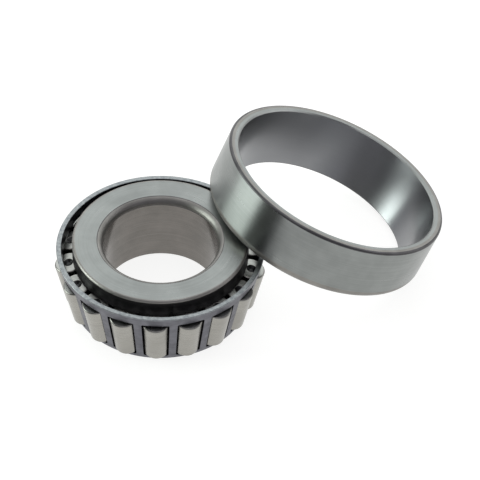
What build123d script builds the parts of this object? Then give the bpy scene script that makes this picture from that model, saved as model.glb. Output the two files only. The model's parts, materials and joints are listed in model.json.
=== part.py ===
from build123d import *
import os
from math import acos, asin, cos, degrees, radians, sin, tan

os.makedirs("parts", exist_ok=True)

# A single-row tapered roller bearing, taken apart the way it comes apart by hand: the cone
# assembly (inner ring, cage and rollers) lies flat with its large end up, and the cup (outer
# ring) leans on it. Lengths are millimetres and angles are degrees. The origin is on the bore
# axis, in the plane of the cone's small end, and +Z runs up the bore.

# ---------------------------------------------------------------- driving dimensions

# boundary sizes of the bearing
bore_diameter = 28.575
outside_diameter = 58.738
bearing_width = 19.050
cone_width = 19.355
cup_width = 15.080

# rolling geometry: both raceways and every roller have one common apex, on the bore axis
cup_angle = 12.0
cup_small_radius = 23.70
roller_count = 18
roller_large_radius = 3.45
roller_low_edge = 1.40
roller_high_edge = 13.45
first_roller_azimuth = -90.0

# running gaps
raceway_gap = 0.03
rib_gap = 0.05
cage_gap = 0.12

# rollers
roller_corner = 0.35
dimple_radius = 1.25
dimple_floor_radius = 0.50
dimple_depth = 0.60
dimple_round = 0.15

# cone (inner ring)
rib_radius = 21.95
rib_corner = 0.65
rib_lower_corner = 0.25
small_rib_radius = 19.25
small_rib_corner = 0.40
bore_corner_width = 1.54
bore_corner_radius = 1.90
bore_chamfer = 0.50
relief_depth = 0.35
relief_width = 0.90
relief_round = 0.15

# cage (pressed steel)
sheet = 1.24
sheet_edge = 0.18
bend_radius = 0.45
bend_outer_radius = 0.60
cage_top = 17.065
cage_top_radius = 25.95
cage_wall_angle = 11.35
cage_small_opening = 19.75
flange_gap = 0.42
pocket_angle = 15.4
pocket_top = 14.45
pocket_low_gap = 0.25
pocket_corner = 0.40
pocket_inner_reach = -2.20
pocket_outer_reach = 6.00

# cup (outer ring)
cup_back_corner = 2.30
cup_front_corner = 0.60
cup_back_chamfer = 0.33
cup_front_chamfer = 0.27

# how the cup leans: tilt of its axis, where it points, and where its back face is centred
cup_tilt = 22.53
cup_tilt_azimuth = 21.75
cup_centre_azimuth = 24.24
cup_centre_distance = 42.09
floor_gap = 0.02

# ---------------------------------------------------------------- worked-out geometry

bore_radius = bore_diameter / 2
cup_radius = outside_diameter / 2
cup_slope = tan(radians(cup_angle))
wall_slope = tan(radians(cage_wall_angle))
cup_back_height = cone_width - bearing_width
apex = cup_back_height - cup_small_radius / cup_slope

# distances from the apex along the line where the rollers would touch the cup
reach_low = (roller_low_edge - apex) / cos(radians(cup_angle))
reach_high = (roller_high_edge - apex) / cos(radians(cup_angle))

# each roller is a slim cone about its own axis, which leans out from the bore axis
roller_angle = degrees(asin(roller_large_radius / reach_high))
axis_angle = cup_angle - roller_angle
cone_angle = cup_angle - 2 * roller_angle
roller_slope = tan(radians(roller_angle))
roller_start = reach_low * cos(radians(roller_angle))
roller_end = reach_high * cos(radians(roller_angle))
spin_ratio = sin(radians(cone_angle)) / sin(radians(roller_angle))


def at_roller(along, out):
    """(radius, height) of the point this far along the roller axis from the apex, and out from it."""
    angle = radians(axis_angle)
    return (along * sin(angle) + out * cos(angle), apex + along * cos(angle) - out * sin(angle))


def out_at_radius(along, radius):
    """How far out from the roller axis the plane square to it at `along` reaches this bore radius."""
    return (radius - along * sin(radians(axis_angle))) / cos(radians(axis_angle))


def out_at_wall(along, top_radius):
    """How far out from the roller axis that plane meets a cage wall with this radius at its top."""
    angle = radians(axis_angle)
    height = apex + along * cos(angle) - cage_top
    return (top_radius + height * wall_slope - along * sin(angle)) / (cos(angle) + sin(angle) * wall_slope)


def raceway(along, depth=0.0):
    """(radius, height) on the cone's raceway, or this deep below it."""
    return at_roller(along, -along * roller_slope - raceway_gap - depth)


def corners(outline):
    """The corner points of an outline given as (point, rounding radius) pairs."""
    return [point for point, _ in outline]


def rounds(outline):
    """The rounding radii of an outline given as (point, rounding radius) pairs."""
    return [radius for _, radius in outline]


def meridian(azimuth):
    """The half-plane through the bore axis at this azimuth; x is radius and y is height."""
    angle = radians(azimuth)
    return Plane(origin=(0, 0, 0), x_dir=(cos(angle), sin(angle), 0), z_dir=(sin(angle), -cos(angle), 0))


# ---------------------------------------------------------------- cone (inner ring)

# The rollers run on a tapered raceway between a small rib below and a tall guide rib above.
# A grinding relief is cut where the raceway meets each rib.
guide_face = roller_end + rib_gap
small_face = roller_start - rib_gap
bore_corner_sweep = degrees(acos(1 - bore_corner_width / bore_corner_radius))
bore_corner_start = cone_width - bore_corner_radius * sin(radians(bore_corner_sweep))

cone_outline = [
    ((bore_radius + bore_corner_width, cone_width), 0),
    ((rib_radius, cone_width), rib_corner),
    (at_roller(guide_face, out_at_radius(guide_face, rib_radius)), rib_lower_corner),
    (raceway(guide_face, relief_depth), relief_round),
    (raceway(guide_face - relief_width, relief_depth), relief_round),
    (raceway(guide_face - relief_width), 0),
    (raceway(small_face + relief_width), 0),
    (raceway(small_face + relief_width, relief_depth), relief_round),
    (raceway(small_face, relief_depth), relief_round),
    (at_roller(small_face, out_at_radius(small_face, small_rib_radius)), relief_round),
    ((small_rib_radius, 0), small_rib_corner),
    ((bore_radius + bore_chamfer, 0), 0),
    ((bore_radius, bore_chamfer), 0),
    ((bore_radius, bore_corner_start), 0),
]

with BuildPart() as cone:
    with BuildSketch(Plane.XZ):
        with BuildLine():
            FilletPolyline(*corners(cone_outline), radius=rounds(cone_outline)[1:-1])
            JernArc((bore_radius, bore_corner_start), (0, 1), bore_corner_radius, -bore_corner_sweep)
        make_face()
    revolve(axis=Axis.Z)

cone.part.label = "cone"
export_step(cone.part, "parts/cone.step")

# ---------------------------------------------------------------- cage

# One pressed sheet: a conical wall around the rollers, turned in to a flange under their small ends.
# The bend is struck square after pressing, so its outside is tighter than its inside plus the sheet.
inner_top_radius = cage_top_radius - sheet / cos(radians(cage_wall_angle))
flange_top = roller_start - flange_gap
flange_low = flange_top - sheet

cage_outline = [
    ((cage_top_radius, cage_top), sheet_edge),
    (at_roller(flange_low, out_at_wall(flange_low, cage_top_radius)), bend_outer_radius),
    (at_roller(flange_low, out_at_radius(flange_low, cage_small_opening)), sheet_edge),
    (at_roller(flange_top, out_at_radius(flange_top, cage_small_opening)), sheet_edge),
    (at_roller(flange_top, out_at_wall(flange_top, inner_top_radius)), bend_radius),
    ((inner_top_radius, cage_top), sheet_edge),
]

# A pocket is a window with radial sides, widened inside to the roller's own round.
pocket_low = roller_start - pocket_low_gap
pocket_top_radius = cage_top_radius - (cage_top - pocket_top) * wall_slope
pocket_high = pocket_top_radius * sin(radians(axis_angle)) + (pocket_top - apex) * cos(radians(axis_angle))

with BuildPart() as pocket:
    with BuildSketch(meridian(first_roller_azimuth - pocket_angle / 2)):
        with BuildLine():
            Polyline(
                at_roller(pocket_low, pocket_inner_reach),
                at_roller(pocket_low, pocket_outer_reach),
                at_roller(pocket_high, pocket_outer_reach),
                at_roller(pocket_high, pocket_inner_reach),
                close=True,
            )
        make_face()
    revolve(axis=Axis.Z, revolution_arc=pocket_angle)
    fillet(pocket.edges().filter_by(GeomType.LINE).sort_by(SortBy.LENGTH)[:4], pocket_corner)

roller_meridian = meridian(first_roller_azimuth)
roller_foot = roller_meridian.from_local_coords((*at_roller(roller_start, 0), 0))
roller_head = roller_meridian.from_local_coords((*at_roller(roller_end, 0), 0))
roller_axis = Axis(roller_foot, roller_head - roller_foot)

with BuildPart() as roller_room:
    with BuildSketch(roller_meridian):
        with BuildLine():
            Polyline(
                at_roller(pocket_low, 0),
                at_roller(pocket_low, pocket_low * roller_slope + cage_gap),
                at_roller(pocket_high, pocket_high * roller_slope + cage_gap),
                at_roller(pocket_high, 0),
                close=True,
            )
        make_face()
    revolve(axis=roller_axis)

with BuildPart() as cage:
    with BuildSketch(Plane.XZ):
        with BuildLine():
            FilletPolyline(*corners(cage_outline), radius=rounds(cage_outline), close=True)
        make_face()
    revolve(axis=Axis.Z)
    with PolarLocations(0, roller_count):
        add(pocket.part, mode=Mode.SUBTRACT)
        add(roller_room.part, mode=Mode.SUBTRACT)

cage.part.label = "cage"
export_step(cage.part, "parts/cage.step")

# ---------------------------------------------------------------- rollers

# Each roller has rounded end corners and a shallow centre dimple in its large end.
small_radius = roller_start * roller_slope
large_radius = roller_end * roller_slope

roller_outline = [
    (at_roller(roller_start, 0), 0),
    (at_roller(roller_start, small_radius), roller_corner),
    (at_roller(roller_end, large_radius), roller_corner),
    (at_roller(roller_end, dimple_radius), dimple_round),
    (at_roller(roller_end - dimple_depth, dimple_floor_radius), dimple_round),
    (at_roller(roller_end - dimple_depth, 0), 0),
]

with BuildPart() as roller:
    with BuildSketch(roller_meridian):
        with BuildLine():
            FilletPolyline(*corners(roller_outline), radius=rounds(roller_outline), close=True)
        make_face()
    revolve(axis=roller_axis)

for index in range(roller_count):
    name = f"roller_{index + 1:02d}"
    placed = roller.part.rotate(Axis.Z, index * 360 / roller_count)
    placed.label = name
    export_step(placed, f"parts/{name}.step")

# ---------------------------------------------------------------- cup (outer ring)

# Its back face is the thick one, at the raceway's small end. One edge of that face stands on the
# ground and the opposite edge rests on the cone's guide rib.
tilt = radians(cup_tilt)
lean = radians(cup_tilt_azimuth)
rounding_rise = cup_back_corner * (1 - cos(tilt))
cup_rise = floor_gap + (cup_radius - cup_back_corner) * sin(tilt) + rounding_rise
cup_centre = (
    cup_centre_distance * cos(radians(cup_centre_azimuth)),
    cup_centre_distance * sin(radians(cup_centre_azimuth)),
    cup_rise,
)
cup_axis = (sin(tilt) * cos(lean), sin(tilt) * sin(lean), cos(tilt))
cup_section = Plane(
    origin=cup_centre,
    x_dir=(cos(tilt) * cos(lean), cos(tilt) * sin(lean), -sin(tilt)),
    z_dir=(sin(lean), -cos(lean), 0),
)
cup_large_radius = cup_small_radius + cup_width * cup_slope

cup_outline = [
    ((cup_small_radius + cup_back_chamfer, 0), 0),
    ((cup_radius, 0), cup_back_corner),
    ((cup_radius, cup_width), cup_front_corner),
    ((cup_large_radius + cup_front_chamfer, cup_width), 0),
    ((cup_large_radius - cup_front_chamfer * cup_slope, cup_width - cup_front_chamfer), 0),
    ((cup_small_radius + cup_back_chamfer * cup_slope, cup_back_chamfer), 0),
]

with BuildPart() as cup:
    with BuildSketch(cup_section):
        with BuildLine():
            FilletPolyline(*corners(cup_outline), radius=rounds(cup_outline), close=True)
        make_face()
    revolve(axis=Axis(cup_centre, cup_axis))

cup.part.label = "cup"
export_step(cup.part, "parts/cup.step")

# ---------------------------------------------------------------- summary

print(f"half-angle of a roller {roller_angle:.3f} degrees")
print(f"half-angles of the raceways: cone {cone_angle:.3f} and cup {cup_angle:.3f} degrees")
print(f"roller axes lean {axis_angle:.3f} degrees from the bore")
print(f"each roller turns {spin_ratio:.4f} times for one turn of the cage")
print(f"cup back-face centre {tuple(round(c, 3) for c in cup_centre)}")
print(f"cup axis {tuple(round(c, 5) for c in cup_axis)}")
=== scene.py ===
# %% [markdown]
# A tapered roller bearing carries a turning shaft and takes load both across it and along it.
# This one is taken apart the way it comes apart by hand. The cone assembly (inner ring, cage
# and 18 rollers) lies flat, and the cup (outer ring) leans on it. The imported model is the
# fixed frame: it says where every part is, how big it is and what turns about what. Nothing
# below moves it. We only build finer surfaces in the same places and give them real finishes.

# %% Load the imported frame
import json
from math import acos, asin, cos, degrees, pi, radians, sin, tan

import bmesh
import bpy
import numpy as np
from mathutils import Matrix, Vector


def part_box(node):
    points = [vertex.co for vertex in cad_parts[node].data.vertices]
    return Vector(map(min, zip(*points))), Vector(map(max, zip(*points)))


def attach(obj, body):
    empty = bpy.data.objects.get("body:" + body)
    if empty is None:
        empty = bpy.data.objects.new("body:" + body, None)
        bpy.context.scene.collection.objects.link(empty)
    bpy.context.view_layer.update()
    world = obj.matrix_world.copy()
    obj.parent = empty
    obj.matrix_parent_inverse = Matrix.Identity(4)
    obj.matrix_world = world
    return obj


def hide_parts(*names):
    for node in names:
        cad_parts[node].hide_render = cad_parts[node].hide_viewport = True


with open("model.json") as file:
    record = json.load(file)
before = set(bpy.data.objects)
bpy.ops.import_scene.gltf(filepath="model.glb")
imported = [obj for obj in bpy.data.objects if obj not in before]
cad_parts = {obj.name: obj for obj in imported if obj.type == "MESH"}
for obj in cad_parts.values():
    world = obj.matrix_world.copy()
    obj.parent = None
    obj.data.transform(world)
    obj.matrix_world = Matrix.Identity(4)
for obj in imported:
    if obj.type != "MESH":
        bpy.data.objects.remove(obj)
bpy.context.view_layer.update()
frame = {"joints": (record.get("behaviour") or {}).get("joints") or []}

# %% [markdown]
# Every length below is in millimetres, because that is how a bearing drawing gives it, and
# one factor turns it into Blender's metres. The driving sizes are the bearing's own: an inner
# ring for a 28.575 mm shaft inside an outer ring of 58.738 mm. The rolling geometry follows
# from one rule. The raceways and every roller are cones that share a single apex on the bore
# axis, so that the rollers roll and never skid.

# %% The bearing's sizes
MM = 0.001

bore_radius = 28.575 / 2
cup_radius = 58.738 / 2
cone_width = 19.355
cup_width = 15.080
cup_angle = radians(12.0)
cup_small_radius = 23.70
roller_count = 18
roller_large_radius = 3.45

apex = cone_width - 19.050 - cup_small_radius / tan(cup_angle)
reach_low = (1.40 - apex) / cos(cup_angle)
reach_high = (13.45 - apex) / cos(cup_angle)
roller_angle = asin(roller_large_radius / reach_high)
axis_angle = cup_angle - roller_angle
roller_slope = tan(roller_angle)
roller_start = reach_low * cos(roller_angle)
roller_end = reach_high * cos(roller_angle)
print(f"apex {apex:.2f} mm below the cone's face")
print(f"roller axes lean {degrees(axis_angle):.3f} degrees")


def at_roller(along, out):
    """(radius, height) of points this far along a roller's axis from the apex and out from it.

    The axis leans out from the bore by `axis_angle`, so a step along it adds its sine to the
    radius and its cosine to the height, and a step out adds its cosine and takes off its sine.
    """
    radius = along * sin(axis_angle) + out * cos(axis_angle)
    height = apex + along * cos(axis_angle) - out * sin(axis_angle)
    return radius, height


def out_at_radius(along, radius):
    """How far out from the roller's axis the plane square to it at `along` meets a bore radius."""
    return (radius - along * sin(axis_angle)) / cos(axis_angle)


def out_at_wall(along, top_radius, top_height, slope):
    """How far out that plane meets a flared wall: `top_radius` at its top, and `slope` less per mm down."""
    height = apex + along * cos(axis_angle) - top_height
    reach = top_radius + height * slope - along * sin(axis_angle)
    return reach / (cos(axis_angle) + sin(axis_angle) * slope)


# %% [markdown]
# The rings and rollers are turned and ground, so each is one closed outline swept round an
# axis. The outline comes first. A list of corners, each with its own rounding, says what a
# machinist's drawing says. Blender could bevel a sharp model instead, but then every corner
# would get the same width. Here each corner keeps its own radius, and the outline knows which
# stretch is raceway, ground face or turned corner, so that each can get its own finish.

# %% Outlines with rounded corners
def rounded(corners, arc_steps=9, hold=0.03):
    """Points round a closed outline whose corners are (x, y, rounding radius), and each one's stretch.

    At a corner the unit directions to its two neighbours, a and b, meet at an angle f. An arc
    of radius r touches both sides at r / tan(f / 2) from the corner, and its centre lies
    r / sin(f / 2) away along a + b. The arc's points turn evenly from one touching point to
    the other. A point `hold` beyond each end of the arc keeps the flat side beside it flat.
    Stretch number k is the straight that follows corner k, and a corner's arc is -1 - k.
    """
    c = np.array(corners, float)
    p, r = c[:, :2], np.maximum(c[:, 2], 1e-6)[:, None]
    a = np.roll(p, 1, 0) - p
    b = np.roll(p, -1, 0) - p
    a /= np.linalg.norm(a, axis=1, keepdims=True)
    b /= np.linalg.norm(b, axis=1, keepdims=True)
    f = np.arccos(np.clip((a * b).sum(1, keepdims=True), -1, 1))
    touch = r / np.tan(f / 2)
    middle = p + (a + b) / np.linalg.norm(a + b, axis=1, keepdims=True) * r / np.sin(f / 2)
    start, end = (p + a * touch - middle) / r, (p + b * touch - middle) / r
    sweep = pi - f
    s = np.linspace(0, 1, arc_steps + 1)[None, :, None]
    w = sweep[:, :, None]
    arc = (np.sin((1 - s) * w) * start[:, None] + np.sin(s * w) * end[:, None]) / np.sin(w)
    arc = middle[:, None] + arc * r[:, :, None]
    before = (p + a * (touch + hold))[:, None]
    after = (p + b * (touch + hold))[:, None]
    points = np.concatenate([before, arc, after], 1)
    index = np.arange(len(c))[:, None]
    zones = np.repeat(-1 - index, arc_steps + 3, 1)
    zones[:, 0] = np.roll(index, 1)[:, 0]
    zones[:, -2:] = index
    points, zones = points.reshape(-1, 2), zones.reshape(-1)
    keep = np.linalg.norm(points - np.roll(points, 1, 0), axis=1) > 2e-5
    return points[keep], zones[keep]


def put_in_mesh(name, points, faces, uv=None, zone=None):
    """Makes an object from arrays: points in mm, faces as index rows, uv (turns, mm) per corner."""
    mesh = bpy.data.meshes.new(name)
    mesh.from_pydata((points * MM).tolist(), [], faces)
    if uv is not None:
        mesh.uv_layers.new(name="surface")
        mesh.uv_layers["surface"].data.foreach_set("uv", (uv * (1, MM)).ravel())
    if zone is not None:
        mesh.polygons.foreach_set("material_index", zone.astype(np.int32))
    mesh.polygons.foreach_set("use_smooth", np.ones(len(mesh.polygons), bool))
    piece = bpy.data.objects.new(name, mesh)
    bpy.context.scene.collection.objects.link(piece)
    return piece


# %% [markdown]
# Sweeping an outline round an axis is a function of two parameters: how far round, and how
# far along the outline. Laid out as a grid, the points need no loop at all. The grid also
# gives a UV map for nothing: u is the way round in turns, and v the way along in metres. The
# grinding lines follow it later, and so does the direction of the shine.

# %% Surfaces of revolution
def turned(name, outline, steps, origin=(0, 0, 0), axis=(0, 0, 1), zone=None, closed=True):
    """Sweeps an outline of (radius, height) points round an axis, in `steps` equal turns.

    A point is origin + radius * (cos t * x + sin t * y) + height * axis, where x and y are two
    directions square to the axis. An open outline starts and ends on the axis, and there a
    single point closes the surface with a fan of triangles.
    """
    z = np.array(axis, float) / np.linalg.norm(axis)
    x = np.cross([0.0, 1.0, 0.0], z)
    x /= np.linalg.norm(x)
    y = np.cross(z, x)
    t = np.linspace(0, 2 * pi, steps, endpoint=False)[:, None, None]
    r, h = outline[:, 0][None, :, None], outline[:, 1][None, :, None]
    grid = np.array(origin, float) + r * (np.cos(t) * x + np.sin(t) * y) + h * z
    n = len(outline)
    length = np.linalg.norm(np.diff(outline, axis=0, append=outline[:1]), axis=1)
    v = np.concatenate([[0], np.cumsum(length)])
    u = np.linspace(0, 1, steps + 1)
    i, j = np.meshgrid(np.arange(steps), np.arange(n if closed else n - 1), indexing="ij")
    i1, j1 = (i + 1) % steps, (j + 1) % n
    quads = np.stack([i * n + j, i1 * n + j, i1 * n + j1, i * n + j1], -1).reshape(-1, 4)
    uv = np.stack([
        np.stack([u[i], v[j]], -1), np.stack([u[i + 1], v[j]], -1),
        np.stack([u[i + 1], v[j + 1]], -1), np.stack([u[i], v[j + 1]], -1),
    ], -2).reshape(-1, 4, 2)
    kinds = None if zone is None else zone[j].reshape(-1)
    piece = put_in_mesh(name, grid.reshape(-1, 3), quads.tolist(), uv.reshape(-1, 2), kinds)
    finish_skin(piece)
    return piece


def finish_skin(piece, gap=2e-7):
    """Joins doubled points, removes faces with no area and turns every face outwards."""
    bm = bmesh.new()
    bm.from_mesh(piece.data)
    bmesh.ops.remove_doubles(bm, verts=bm.verts, dist=gap)
    bmesh.ops.dissolve_degenerate(bm, edges=bm.edges, dist=gap)
    bmesh.ops.recalc_face_normals(bm, faces=bm.faces)
    open_edges = sum(not e.is_manifold for e in bm.edges)
    volume = bm.calc_volume(signed=True) * 1e9
    triangles = sum(len(f.verts) - 2 for f in bm.faces)
    bm.to_mesh(piece.data)
    bm.free()
    print(f"{piece.name}: {triangles} triangles, {volume:.1f} mm3, {open_edges} open edges")


# %% [markdown]
# The inner ring is called the cone. Its raceway tapers between a small rib at the bottom and
# a tall rib at the top, which guides the rollers' big ends. A relief groove in each corner
# lets the grinding wheel run out. The bore opens at the top with a large rounded mouth, so
# that the ring clears the fillet of the shaft's shoulder.

# %% Cone (inner ring)
def raceway(along, depth=0.0):
    """(radius, height) on the cone's raceway, or this deep below it."""
    return at_roller(along, -along * roller_slope - 0.03 - depth)


rib_radius = 21.95
guide_face = roller_end + 0.05
small_face = roller_start - 0.05
relief_width, relief_depth = 0.90, 0.35

mouth_width, mouth_radius = 1.54, 1.90
mouth_sweep = acos(1 - mouth_width / mouth_radius)
mouth_start = cone_width - mouth_radius * sin(mouth_sweep)
# The mouth's first and last 0.10 radians are single strips; they are coloured dark as painted shade along
# the crisp edges of the bore and the face.
wall_line, face_line = 0.10, 0.10
mouth_turn = np.concatenate([
    [0], np.linspace(wall_line, mouth_sweep - face_line, 15), [mouth_sweep],
])
mouth = np.stack([
    bore_radius + mouth_radius * (1 - np.cos(mouth_turn)),
    mouth_start + mouth_radius * np.sin(mouth_turn),
], 1)

cone_corners = [
    (rib_radius, cone_width, 0.65),
    (*at_roller(guide_face, out_at_radius(guide_face, rib_radius)), 0.25),
    (*raceway(guide_face, relief_depth), 0.15),
    (*raceway(guide_face - relief_width, relief_depth), 0.15),
    (*raceway(guide_face - relief_width), 0.0),
    (*raceway(small_face + relief_width), 0.0),
    (*raceway(small_face + relief_width, relief_depth), 0.15),
    (*raceway(small_face, relief_depth), 0.15),
    (*at_roller(small_face, out_at_radius(small_face, 19.25)), 0.15),
    (19.25, 0.0, 0.40),
    (bore_radius + 0.50, 0.0, 0.04),
    (bore_radius, 0.50, 0.04),
    (bore_radius, mouth_start, 0.0),
    (bore_radius + mouth_width, cone_width, 0.0),
]
cone_outline, cone_zone = rounded(cone_corners)

# the rounded mouth of the bore takes the place of the straight between the last two corners
chord = np.flatnonzero(cone_zone == 12)
at_mouth, after_mouth = int(chord[0]), int(chord[-1]) + 1
cone_outline = np.concatenate([cone_outline[:at_mouth], mouth[1:-1], cone_outline[after_mouth:]])
cone_zone = np.concatenate([
    cone_zone[:at_mouth], np.full(len(mouth) - 2, 12), cone_zone[after_mouth:],
])

# Kinds of finish along an outline. The dark kind is painted shade on thin edge strips and in the gap under
# the cage.
GROUND, HONED, TURNED, BORE, PAINTED_SHADE, DIMPLE = 0, 1, 2, 3, 4, 3
cone_kind = np.full(len(cone_zone), TURNED)
cone_kind[np.isin(cone_zone, [13, 9])] = GROUND
# Painted shade: the rib's side, the guide face under it and the relief grooves are coloured dark, for the
# gap under the cage.
cone_kind[np.isin(cone_zone, [0, 1, -2, -3, 2, -4, 3, -5])] = PAINTED_SHADE
# Painted shade: a thin strip at each edge of the bore's mouth is coloured dark.
cone_kind[at_mouth + len(mouth) - 3:at_mouth + len(mouth) - 2] = PAINTED_SHADE
cone_kind[at_mouth - 1:at_mouth] = PAINTED_SHADE
cone_kind[np.isin(cone_zone, [4])] = HONED
# Painted shade: the bore wall takes the darker bore steel.
cone_kind[np.isin(cone_zone, [11])] = BORE
cone = turned("cone_ring", cone_outline, 384, zone=cone_kind)
cone_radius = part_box("cone")[1].x * 1000
print("cone radius", round(cone_outline[:, 0].max(), 3), "CAD", round(cone_radius, 3))

# %% [markdown]
# The outer ring is called the cup. It has no ribs, only a tapered raceway inside. One end of
# the cup is thick and the other is thin. Its lean comes straight from the frame: the lift joint
# slides along the cup's own axis. Its place round the cone is given as a reach and a bearing.
# The middle of its thick face is placed by the condition that its rounded corner touches the floor.

# %% Cup (outer ring)
lift = next(j for j in frame["joints"] if j["name"] == "cup_lift")
cup_axis = np.array(lift["axis"]) / np.linalg.norm(lift["axis"])
cup_tilt = acos(cup_axis[2])
cup_reach, cup_bearing = 42.09, radians(24.24)
cup_corner, floor_gap = 2.30, 0.02
cup_centre = np.array([
    cup_reach * cos(cup_bearing),
    cup_reach * sin(cup_bearing),
    floor_gap + (cup_radius - cup_corner) * sin(cup_tilt) + cup_corner * (1 - cos(cup_tilt)),
])
cup_large_radius = cup_small_radius + cup_width * tan(cup_angle)
cup_corners = [
    (cup_radius, 0.0, cup_corner),
    (cup_radius, cup_width, 0.60),
    (cup_large_radius + 0.27, cup_width, 0.05),
    (cup_large_radius - 0.27 * tan(cup_angle), cup_width - 0.27, 0.05),
    (cup_small_radius + 0.33 * tan(cup_angle), 0.33, 0.05),
    (cup_small_radius + 0.33, 0.0, 0.05),
]
cup_outline, cup_zone = rounded(cup_corners, arc_steps=12)
# the thin end's face is ground bright only over its inner part
face_start = int(np.flatnonzero(cup_zone == 1)[1])
cup_outline = np.insert(cup_outline, face_start + 1, [28.0, cup_width], 0)
cup_zone = np.insert(cup_zone, face_start + 1, 1)
cup_kind = np.full(len(cup_zone), TURNED)
cup_kind[np.isin(cup_zone, [0, 1, 2, 5])] = GROUND
cup_kind[np.isin(cup_zone, [3])] = HONED
# Painted shade: the outer corner of the thin end, and the chamfer and corners inside the thick end, are
# coloured dark as shade along the edges.
cup_kind[np.isin(cup_zone, [-2, 4, -5, -6])] = PAINTED_SHADE
cup_kind[face_start - 1:face_start + 1] = TURNED
cup = turned("cup_ring", cup_outline, 448, cup_centre, cup_axis, cup_kind)
print("cup leans", round(degrees(cup_tilt), 2))

# %% [markdown]
# A roller is a slim cone with rounded ends and a shallow dimple turned in its large end. Its
# outline is measured from the common apex, so the same outline serves all eighteen. Each
# roller's axis comes from the joint that it spins on.

# %% Rollers
small_radius, large_radius = roller_start * roller_slope, roller_end * roller_slope
roller_corners = [
    (0.0, roller_start, 0.0),
    (small_radius, roller_start, 0.35),
    (large_radius, roller_end, 0.35),
    (1.25, roller_end, 0.15),
    (0.50, roller_end - 0.60, 0.15),
    (0.0, roller_end - 0.60, 0.0),
    (-5.0, roller_end - 5.0, 0.0),
]
roller_outline, roller_zone = rounded(roller_corners, arc_steps=7)
middle_run = (roller_zone > -6) & (roller_zone < 5) & (roller_outline[:, 0] > 0.01)
roller_outline, roller_zone = roller_outline[middle_run], roller_zone[middle_run]
roller_outline = np.concatenate([[[0, roller_start]], roller_outline, [[0, roller_end - 0.60]]])
roller_zone = np.concatenate([[0], roller_zone, [4]])
roller_kind = np.full(len(roller_zone), TURNED)
roller_kind[np.isin(roller_zone, [0, 2])] = GROUND
roller_kind[np.isin(roller_zone, [1])] = HONED
roller_kind[np.isin(roller_zone, [3, 4, -5])] = DIMPLE

rollers = []
for index in range(roller_count):
    name = f"roller_{index + 1:02d}"
    spin = next(j for j in frame["joints"] if j["name"] == f"{name}_spin")
    axis = np.array(spin["axis"])
    rollers.append(turned(
        f"{name}_body", roller_outline, 72, (0, 0, apex), axis * np.sign(axis[2]),
        roller_kind, closed=False,
    ))

# %% [markdown]
# The cage is one sheet of steel, 1.24 mm thick, pressed into a cup shape and pierced with
# eighteen windows. A Boolean could cut the windows, but it leaves long thin triangles that
# shade badly and corners that cannot be rounded. Instead one eighteenth-of-a-turn sector is
# worked out as a single skin: down the outside to the window's rim, through the window's
# wall, and back along the inside. Its points are a function of how far round the window they
# are and how far along that path. The eighteen sectors meet edge to edge and are merged.

# %% Cage: shape of a window
sheet = 1.24
cage_top, cage_top_radius = 17.065, 25.95
window_top = 14.45
wall_angle = radians(11.35)
inner_top_radius = cage_top_radius - sheet / cos(wall_angle)
half_pocket = radians(15.4 / 2)
roller_play = 0.12
pocket_corner = 0.40
pocket_low = roller_start - 0.25
pocket_top_radius = cage_top_radius - (cage_top - window_top) * tan(wall_angle)
pocket_high = pocket_top_radius * sin(axis_angle) + (window_top - apex) * cos(axis_angle)
half_sector = pi / roller_count


def window_half_angle(along, out):
    """Half the window's width as an angle about the bore, at these points of the sheet.

    The window has radial sides. Further in it widens to the roller's own round: the room for
    the roller is a circle about the roller's axis, 0.12 mm bigger than the roller, and a point
    at radius R is on it where R * sin(angle) squared plus its height out squared is that
    radius squared.
    """
    radius, _ = at_roller(along, out)
    room = along * roller_slope + roller_play
    angle = np.full_like(radius, half_pocket)
    for _ in range(6):
        lean_in = radius * (1 - np.cos(angle)) * cos(axis_angle)
        chord = np.sqrt(np.maximum(room**2 - (out - lean_in) ** 2, 0))
        angle = np.arcsin(np.clip(chord / radius, 0, 0.5))
    return np.maximum(angle, half_pocket)


def quarter(steps_end, steps_arc, steps_side):
    """How a quarter of a window's edge is divided: its low end, its corner and half its side.

    The end and the side are shares from 0 to 1, and the corner is an angle from 0 to a
    quarter turn. The sector's edge is divided into the same number of points.
    """
    end = np.linspace(0, 1, steps_end + 1)[:-1]
    arc = np.linspace(0, pi / 2, 2 * steps_arc + 1)
    side = np.linspace(0, 1, steps_side + 1)[1:]
    return end, arc, side


def window_ring(offset, out_of, steps=(6, 3, 8)):
    """The closed line round the window, `offset` mm outside its edge, at the depth out_of(along).

    Ends lie at a fixed distance along the roller's axis, sides at the half angle above, and
    the corners are arcs of the corner radius plus the offset. The quarter is mirrored twice.
    Returns (angle about the bore, along the roller's axis).
    """
    end, arc, side = quarter(*steps)
    low, high = pocket_low - offset, pocket_high + offset
    middle, half_length = (low + high) / 2, (high - low) / 2
    r = pocket_corner + offset
    side_up = -half_length + r + side * (half_length - r)
    inset = np.concatenate([np.full(len(end), r), r * (1 - np.sin(arc)), np.zeros(len(side))])
    arc_up = -half_length + r * (1 - np.cos(arc))
    up = np.concatenate([np.full(len(end), -half_length), arc_up, side_up])
    share = np.concatenate([end, np.ones(len(arc) + len(side))])
    lines = []
    for flip in (1, -1):
        along = middle + flip * up
        out = out_of(along)
        radius, _ = at_roller(along, out)
        half = window_half_angle(along, out) + (offset - inset) / radius
        lines.append((share * half, along))
    (a0, l0), (a1, l1) = lines
    angle = np.concatenate([a0, a1[::-1][1:], -a1[1:], -a0[::-1][1:-1]])
    along = np.concatenate([l0, l1[::-1][1:], l1[1:], l0[::-1][1:-1]])
    return angle, along


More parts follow.
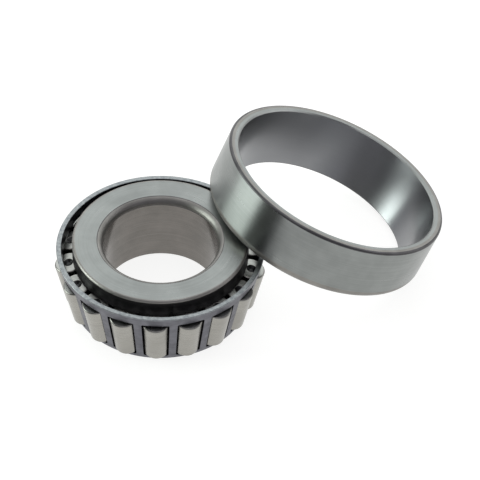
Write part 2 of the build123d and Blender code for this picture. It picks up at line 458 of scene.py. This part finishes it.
def sector_ring(low, high, steps=(6, 3, 8)):
    """The sector's edge between two distances along the axis, opposite the window point for point."""
    end, arc, side = quarter(*steps)
    m = len(arc) // 2
    corner_share = 0.92
    across = np.concatenate([
        end * corner_share, np.linspace(corner_share, 1, m + 1), np.ones(m + len(side)),
    ])
    corner_up = -1 + 0.10 * np.linspace(0, 1, m + 1)[1:]
    up = np.concatenate([
        np.full(len(end) + m + 1, -1.0), corner_up, corner_up[-1] * (1 - side),
    ])
    middle, half_length = (low + high) / 2, (high - low) / 2
    a, l0, l1 = across * half_sector, middle + up * half_length, middle - up * half_length
    angle = np.concatenate([a, a[::-1][1:], -a[1:], -a[::-1][1:-1]])
    along = np.concatenate([l0, l1[::-1][1:], l1[1:], l0[::-1][1:-1]])
    return angle, along


# %% [markdown]
# The sheet's cross-section away from the windows is another rounded outline: the flared wall,
# the bend and the flange that turns in under the rollers' small ends. Where the wall's two
# sides are straight, the sector's skin takes over from it, and both use the same angles round
# the bore, so their edges match.

# %% Cage: skin
flange_top = roller_start - 0.42
flange_low = flange_top - sheet


def outer_out(along):
    return out_at_wall(along, cage_top_radius, cage_top, tan(wall_angle))


def inner_out(along):
    return out_at_wall(along, inner_top_radius, cage_top, tan(wall_angle))


cage_corners = [
    (*at_roller(flange_low, out_at_radius(flange_low, 19.75)), 0.18),
    (*at_roller(flange_top, out_at_radius(flange_top, 19.75)), 0.18),
    (*at_roller(flange_top, inner_out(flange_top)), 0.02),
    (inner_top_radius, cage_top, 0.18),
    (cage_top_radius, cage_top, 0.18),
    (*at_roller(flange_low, outer_out(flange_low)), 0.60),
]
cage_outline, cage_zone = rounded(cage_corners, arc_steps=8)
inner_run = np.flatnonzero(cage_zone == 2)
outer_run = np.flatnonzero(cage_zone == 4)


def to_along(point):
    """How far along the roller's axis a (radius, height) point is from the apex."""
    return point[0] * sin(axis_angle) + (point[1] - apex) * cos(axis_angle)


outer_high, outer_low = to_along(cage_outline[outer_run[0]]), to_along(cage_outline[outer_run[-1]])
inner_low, inner_high = to_along(cage_outline[inner_run[0]]), to_along(cage_outline[inner_run[-1]])


def skin_rows():
    """The sector's skin as rows of (angle, along, out), from the outside edge to the inside edge."""
    rim = 0.10
    rows = []
    spread = np.array([1.0, 0.72, 0.42, 0.16, 0.03])
    edge = sector_ring(outer_low, outer_high)
    hole = window_ring(rim, outer_out)
    for s in spread:
        angle = hole[0] + s * (edge[0] - hole[0])
        along = hole[1] + s * (edge[1] - hole[1])
        rows.append((angle, along, outer_out(along)))
    for turn in np.linspace(0, pi / 2, 4):
        drop = rim * (1 - cos(turn))
        angle, along = window_ring(rim * (1 - sin(turn)), lambda a, d=drop: outer_out(a) - d)
        rows.append((angle, along, outer_out(along) - drop))
    for deep in np.linspace(0.03, 0.97, 9):
        def level(a, d=deep):
            return (outer_out(a) - rim) * (1 - d) + (inner_out(a) + rim) * d
        angle, along = window_ring(0.0, level)
        rows.append((angle, along, level(along)))
    for turn in np.linspace(pi / 2, 0, 4):
        drop = rim * (1 - cos(turn))
        angle, along = window_ring(rim * (1 - sin(turn)), lambda a, d=drop: inner_out(a) + d)
        rows.append((angle, along, inner_out(along) + drop))
    edge = sector_ring(inner_low, inner_high)
    hole = window_ring(rim, inner_out)
    for s in spread[::-1]:
        angle = hole[0] + s * (edge[0] - hole[0])
        along = hole[1] + s * (edge[1] - hole[1])
        rows.append((angle, along, inner_out(along)))
    return np.array(rows)


skin = skin_rows()
rows, count = skin.shape[0], skin.shape[2]
sector_azimuth = radians(-90) + 2 * half_sector * np.arange(roller_count)
azimuth = sector_azimuth[:, None, None] + skin[None, :, 0]
radius, height = at_roller(skin[:, 1], skin[:, 2])
wall_points = np.stack([
    radius * np.cos(azimuth), radius * np.sin(azimuth), np.broadcast_to(height, azimuth.shape),
], -1)
k, i, j = np.meshgrid(np.arange(roller_count), np.arange(rows - 1), np.arange(count), indexing="ij")
j1 = (j + 1) % count


def wall_index(i, j):
    return (k * rows + i) * count + j


wall_faces = np.stack([
    wall_index(i, j), wall_index(i, j1), wall_index(i + 1, j1), wall_index(i + 1, j),
], -1)
WALL, EDGE, INSIDE = 0, 1, 2
# Painted shade: from the window's rim inwards, the window walls and the whole inside take the near-black
# third finish.
row_kind = np.full(rows - 1, INSIDE)
row_kind[:8] = WALL
wall_kind = np.broadcast_to(row_kind[None, :, None], i.shape).reshape(-1)
wall_uv = np.stack([
    azimuth / (2 * pi), np.broadcast_to(skin[None, :, 1], azimuth.shape),
], -1).reshape(-1, 2)

# the flange, the bend and the top edge: the rest of the outline, swept through the same angles
edge_angle = sector_ring(outer_low, outer_high)[0]
edge_angle = np.unique(np.round(edge_angle, 9))
ring_angle = (sector_azimuth[:, None] + edge_angle[None, :-1]).ravel()
ring_u = np.append(ring_angle, ring_angle[0] + 2 * pi) / (2 * pi)


def strip(first, last, start):
    """Faces of the outline swept from one of its points to another, and each corner's uv."""
    run = np.arange(first, last + 1) % len(cage_outline)
    line = cage_outline[run]
    t = ring_angle[:, None]
    level = np.broadcast_to(line[:, 1], (len(t), len(run)))
    points = np.stack([line[:, 0] * np.cos(t), line[:, 0] * np.sin(t), level], -1)
    n, m = len(ring_angle), len(run)
    a, b = np.meshgrid(np.arange(n), np.arange(m - 1), indexing="ij")
    a1 = (a + 1) % n
    ring = [a * m + b, a1 * m + b, a1 * m + b + 1, a * m + b + 1]
    faces = start + np.stack(ring, -1).reshape(-1, 4)
    v = np.concatenate([[0], np.cumsum(np.linalg.norm(np.diff(line, axis=0), axis=1))])
    uv = np.stack([
        np.stack([ring_u[a], v[b]], -1), np.stack([ring_u[a + 1], v[b]], -1),
        np.stack([ring_u[a + 1], v[b + 1]], -1), np.stack([ring_u[a], v[b + 1]], -1),
    ], -2).reshape(-1, 2)
    return points.reshape(-1, 3), faces, uv


wall_points = wall_points.reshape(-1, 3)
wall_faces = wall_faces.reshape(-1, 4)
bend = strip(outer_run[-1], inner_run[0] + len(cage_outline), len(wall_points))
lip = strip(inner_run[-1], outer_run[0], len(wall_points) + len(bend[0]))
cage_points = np.concatenate([wall_points, bend[0], lip[0]])
cage_faces = np.concatenate([wall_faces, bend[1], lip[1]])
cage_uv = np.concatenate([wall_uv[wall_faces.ravel()], bend[2], lip[2]])
cage_kind = np.concatenate([wall_kind, np.full(len(bend[1]), WALL), np.full(len(lip[1]), EDGE)])
cage = put_in_mesh("cage_pressing", cage_points, cage_faces.tolist(), cage_uv, cage_kind)
finish_skin(cage)

# %% [markdown]
# Each new piece now takes the place of its imported part. It rides on the same body, so it
# moves when the joint moves.

# %% Ride on the imported bodies
for piece, body, slot in (
    [(cone, "cone", "ring_steel"), (cup, "cup", "ring_steel"), (cage, "cage", "cage_steel")]
    + [(r, r.name[:9], "roller_steel") for r in rollers]
):
    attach(piece, body)
    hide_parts(body)
print("pieces:", 3 + len(rollers))

# %% [markdown]
# Finishes are shader nodes. One small function adds a node with its settings and its links,
# and colours are written as the hex values that a colour picker shows. Cycles works with
# linear light, so one more function turns the hex into linear values.

# %% Node and colour helpers
def to_linear(hex_colour):
    """sRGB hex to linear: below 0.04045 a straight line, above it a power of 2.4."""
    c = np.array([int(hex_colour[k:k + 2], 16) for k in (1, 3, 5)]) / 255
    lin = np.where(c <= 0.04045, c / 12.92, ((c + 0.055) / 1.055) ** 2.4)
    return (*lin.tolist(), 1.0)


def node(tree, kind, settings=None, **links):
    """Adds a node. `settings` are its properties; a link is a socket's value or a node's output."""
    made = tree.nodes.new(kind)
    for key, value in (settings or {}).items():
        setattr(made, key, value)
    for key, value in links.items():
        socket = made.inputs[int(key[1:])] if key[0] == "_" else made.inputs[key.replace("_", " ")]
        if isinstance(value, bpy.types.NodeSocket):
            tree.links.new(value, socket)
        else:
            socket.default_value = value
    return made


def new_finish(name):
    """An empty material with its node tree and output."""
    finish = bpy.data.materials.new(name)
    finish.use_nodes = True
    tree = finish.node_tree
    tree.nodes.clear()
    return finish, tree, tree.nodes.new("ShaderNodeOutputMaterial")


# %% [markdown]
# Bearing steel is through-hardened, and nearly every surface of it has been ground. The wheel
# leaves fine lines round the ring. They show as streaks, and they stretch each highlight
# across themselves, along the ring's axis. The lines are really a few hundredths of a
# millimetre apart, which is too fine to show here, so they are drawn about 0.3 mm apart and
# very shallow.

# %% Ground, honed and turned bearing steel
def steel(name, colour, dark, roughness, grain, line_mm, streaks, depth_mm, spread, cloud_mm=6.0):
    """A bearing steel finish with grinding lines round the piece.

    name: the material. colour, dark: its usual colour and that of its duller patches.
    roughness: around this value, `grain` more or less. line_mm: distance between lines.
    streaks: how many lengths a line has in one turn. depth_mm: how deep. spread: the anisotropy.
    The lines are 3-D noise read on a tube, at (cos of the turn, sin of the turn, way along), so
    that they close on themselves with no seam.
    """
    finish, tree, output = new_finish(name)
    uv = node(tree, "ShaderNodeUVMap", {"uv_map": "surface"})
    way = node(tree, "ShaderNodeSeparateXYZ", None, Vector=uv.outputs["UV"])
    turn = node(tree, "ShaderNodeMath", {"operation": "MULTIPLY"}, _0=way.outputs["X"], _1=2 * pi)
    tube = []
    for operation in ("COSINE", "SINE"):
        swing = node(tree, "ShaderNodeMath", {"operation": operation}, _0=turn.outputs[0])
        tube.append(node(
            tree, "ShaderNodeMath", {"operation": "MULTIPLY"},
            _0=swing.outputs[0], _1=streaks / (2 * pi),
        ).outputs[0])
    rise = node(
        tree, "ShaderNodeMath", {"operation": "DIVIDE"}, _0=way.outputs["Y"], _1=line_mm * MM,
    )
    on_tube = node(tree, "ShaderNodeCombineXYZ", None, X=tube[0], Y=tube[1], Z=rise.outputs[0])
    lines = node(
        tree, "ShaderNodeTexNoise", None, Vector=on_tube.outputs[0],
        Scale=1.0, Detail=2.0, Roughness=0.5,
    )
    place = node(tree, "ShaderNodeTexCoord")
    cloud = node(
        tree, "ShaderNodeTexNoise", None, Vector=place.outputs["Object"],
        Scale=1 / (cloud_mm * MM), Detail=3.0, Roughness=0.6,
    )
    tone = node(
        tree, "ShaderNodeMix", {"data_type": "FLOAT"}, _0=0.6,
        _2=lines.outputs["Fac"], _3=cloud.outputs["Fac"],
    )
    colours = node(tree, "ShaderNodeValToRGB", None, Fac=tone.outputs[0])
    colours.color_ramp.elements[0].position, colours.color_ramp.elements[1].position = 0.38, 0.62
    colours.color_ramp.elements[0].color = to_linear(dark)
    colours.color_ramp.elements[1].color = to_linear(colour)
    rough = node(
        tree, "ShaderNodeMapRange", None, Value=tone.outputs[0],
        From_Min=0.35, From_Max=0.65, To_Min=roughness + grain, To_Max=roughness - grain,
    )
    bump = node(
        tree, "ShaderNodeBump", None,
        Height=lines.outputs["Fac"], Strength=1.0, Distance=depth_mm * MM,
    )
    tangent = node(tree, "ShaderNodeTangent", {"direction_type": "UV_MAP", "uv_map": "surface"})
    skin = node(
        tree, "ShaderNodeBsdfPrincipled", None, Base_Color=colours.outputs["Color"],
        Metallic=1.0, Roughness=rough.outputs["Result"], Normal=bump.outputs["Normal"],
        Anisotropic=spread, Anisotropic_Rotation=0.25, Tangent=tangent.outputs[0],
    )
    tree.links.new(skin.outputs[0], output.inputs["Surface"])
    return finish


ground_steel = steel("ground_bearing_steel", "#8d908e", "#848785", 0.30, 0.03, 0.30, 6, 0.0007, 0.80)
honed_steel = steel("honed_bearing_steel", "#8f9092", "#8d8e90", 0.28, 0.005, 0.60, 4, 0.00002, 0.50)
turned_steel = steel("turned_bearing_steel", "#908e8a", "#84827e", 0.46, 0.05, 0.25, 12, 0.0015, 0.30)
# Painted shade: the bore is coloured darker than the ground steel, for the shade inside the bore.
bore_steel = steel("bore_bearing_steel", "#7d7975", "#73706c", 0.22, 0.03, 0.30, 3, 0.0006, 0.60)
# This dark steel is painted shade: it colours the narrow strips at edges and the surfaces in the gap under
# the cage.
painted_shade_steel = steel("hardened_bearing_steel", "#5b5a5b", "#4b4a4b", 0.40, 0.05, 0.30, 12, 0.0015, 0.20)
for ring in (cone, cup):
    for finish in (ground_steel, honed_steel, turned_steel, bore_steel, painted_shade_steel):
        ring.data.materials.append(finish)

roller_side = steel("ground_roller_steel", "#a09e98", "#97958f", 0.28, 0.03, 0.30, 3, 0.0003, 0.50)
roller_face = steel("roller_end_steel", "#a9aaa6", "#8f908c", 0.30, 0.05, 0.25, 3, 0.0010, 0.30)
roller_edge = steel("roller_corner_steel", "#93928d", "#7b7a76", 0.34, 0.05, 0.25, 3, 0.0010, 0.20)
# The dimple in each roller's large end is coloured much darker than the end face round it.
roller_dimple = steel("forged_roller_steel", "#4b4b4c", "#3a3a3b", 0.42, 0.05, 0.25, 3, 0.0010, 0.0)
for roller in rollers:
    for finish in (roller_face, roller_side, roller_edge, roller_dimple):
        roller.data.materials.append(finish)

# %% [markdown]
# The cage is pressed from low-carbon strip and then phosphate-treated and oiled. That leaves
# a dull blue-grey skin, much darker and softer in its shine than the ground steel beside it,
# and slightly patchy. Its sheared top edge is rubbed bright. Its inside and the walls of its
# windows are coloured near black, as painted shade in the gaps round the rollers.

# %% Phosphated cage steel
cage_steel = steel("phosphated_cage_steel", "#717177", "#626267", 0.44, 0.05, 0.45, 60, 0.002, 0.0, 2.5)
edge_steel = steel("sheared_cage_steel", "#9a9e9e", "#7b7f82", 0.38, 0.06, 0.20, 240, 0.004, 0.0, 1.0)
# Painted shade: this near-black steel colours the window walls and the cage's inside, for the shade in the
# gaps round the rollers.
inside_shade_steel = steel("oily_cage_steel", "#35353a", "#27272b", 0.42, 0.05, 0.45, 60, 0.002, 0.0, 2.5)
for finish in (cage_steel, edge_steel, inside_shade_steel):
    cage.data.materials.append(finish)

# %% [markdown]
# The setting is a photographer's table: a plain pale sweep with large soft lights. A metal
# shows almost nothing but its surroundings, so the lights are placed for what each surface
# mirrors. The flat face of the cone mirrors the light behind and above, the left of each ring
# mirrors the light on the left, and the dark room in front gives the dark bands.

# %% Floor
# The paper gives off a little light of its own, as a lit table does, which keeps it white
# right up to the rings. It lies just under them, so that the two never share a plane.
floor_mesh = bpy.data.meshes.new("floor")
half, drop = 3.0, -2e-5
floor_mesh.from_pydata(
    [(-half, -half, drop), (half, -half, drop), (half, half, drop), (-half, half, drop)],
    [], [(0, 1, 2, 3)],
)
floor = bpy.data.objects.new("floor", floor_mesh)
bpy.context.scene.collection.objects.link(floor)
paper, tree, output = new_finish("matt_white_paper")
place = node(tree, "ShaderNodeTexCoord")
grain = node(
    tree, "ShaderNodeTexNoise", None, Vector=place.outputs["Object"], Scale=900.0, Detail=2.0,
)
bump = node(tree, "ShaderNodeBump", None, Height=grain.outputs["Fac"], Strength=0.2, Distance=2e-5)
sheet_skin = node(
    tree, "ShaderNodeBsdfPrincipled", None, Base_Color=to_linear("#8f8f8e"), Roughness=0.95,
    Specular_IOR_Level=0.1, Normal=bump.outputs["Normal"],
    Emission_Color=to_linear("#fffffe"), Emission_Strength=0.85,
)
tree.links.new(sheet_skin.outputs[0], output.inputs["Surface"])
floor.data.materials.append(paper)

# %% [markdown]
# Each softbox is given as how bright it looks, because that is what a metal mirrors. A black
# card beside the cup is seen only in reflections. It makes the narrow dark band that follows
# each bright one, and it casts no shadow.

# %% Lights
def softbox(name, place, aim, size, radiance, colour="#ffffff"):
    """A rectangular light of power radiance * pi * area, so `radiance` is how bright it looks."""
    light = bpy.data.lights.new(name, "AREA")
    light.shape = "RECTANGLE"
    light.size, light.size_y = size
    light.energy = radiance * pi * size[0] * size[1]
    light.color = to_linear(colour)[:3]
    lamp = bpy.data.objects.new(name, light)
    lamp.location = place
    lamp.rotation_euler = (Vector(aim) - Vector(place)).to_track_quat("-Z", "Y").to_euler()
    lamp.visible_camera = False
    bpy.context.scene.collection.objects.link(lamp)
    return lamp


centre = (0.02, 0.01, 0.01)
softbox("light_behind", (0.05, 1.05, 0.80), centre, (2.2, 1.5), 1.25, "#fbfffc")
softbox("light_above", (0.0, -0.05, 1.30), centre, (1.1, 0.8), 0.95)
softbox("light_left", (-0.80, -0.03, 0.26), centre, (0.50, 0.52), 5.8, "#f4fff8")
softbox("light_right", (1.1, 0.30, 0.45), centre, (0.9, 0.9), 1.4)

# a black card that only reflections see, for the dark band beside each bright one
card_mesh = bpy.data.meshes.new("black_card")
card_mesh.from_pydata(
    [(-0.055, -0.080, 0.0), (-0.085, -0.035, 0.0), (-0.085, -0.035, 0.22), (-0.055, -0.080, 0.22)],
    [], [(0, 1, 2, 3)],
)
card = bpy.data.objects.new("black_card", card_mesh)
bpy.context.scene.collection.objects.link(card)
card.visible_camera = card.visible_diffuse = card.visible_shadow = False
felt, tree, output = new_finish("black_felt")
felt_skin = node(
    tree, "ShaderNodeBsdfPrincipled", None, Base_Color=to_linear("#101010"),
    Roughness=1.0, Specular_IOR_Level=0.0,
)
tree.links.new(felt_skin.outputs[0], output.inputs["Surface"])
card.data.materials.append(felt)

world = bpy.data.worlds.new("studio")
world.use_nodes = True
world.node_tree.nodes["Background"].inputs["Color"].default_value = to_linear("#f4f2ff")
world.node_tree.nodes["Background"].inputs["Strength"].default_value = 0.34
bpy.context.scene.world = world
bpy.context.scene.view_settings.view_transform = "Standard"

# %% [markdown]
# The camera looks down at about 44 degrees from a little over half a metre away, rolled by
# two degrees, with a long lens that keeps the rings from looking stretched.

# %% Camera
camera_place = Vector((0.019663, -0.383852, 0.388157))
camera_down, camera_roll = 0.764681, 0.033694
ahead = Vector((0, cos(camera_down), -sin(camera_down)))
level = Vector((1, 0, 0))
over = level.cross(ahead)
right = cos(camera_roll) * level + sin(camera_roll) * over
up = -sin(camera_roll) * level + cos(camera_roll) * over
camera_data = bpy.data.cameras.new("camera")
camera_data.sensor_width = 36
camera_data.lens = 161.186
camera = bpy.data.objects.new("camera", camera_data)
turn = Matrix((right, up, -ahead)).transposed().to_4x4()
camera.matrix_world = Matrix.Translation(camera_place) @ turn
bpy.context.scene.collection.objects.link(camera)
bpy.context.scene.camera = camera
print("camera looks down", round(degrees(camera_down), 2), "degrees")
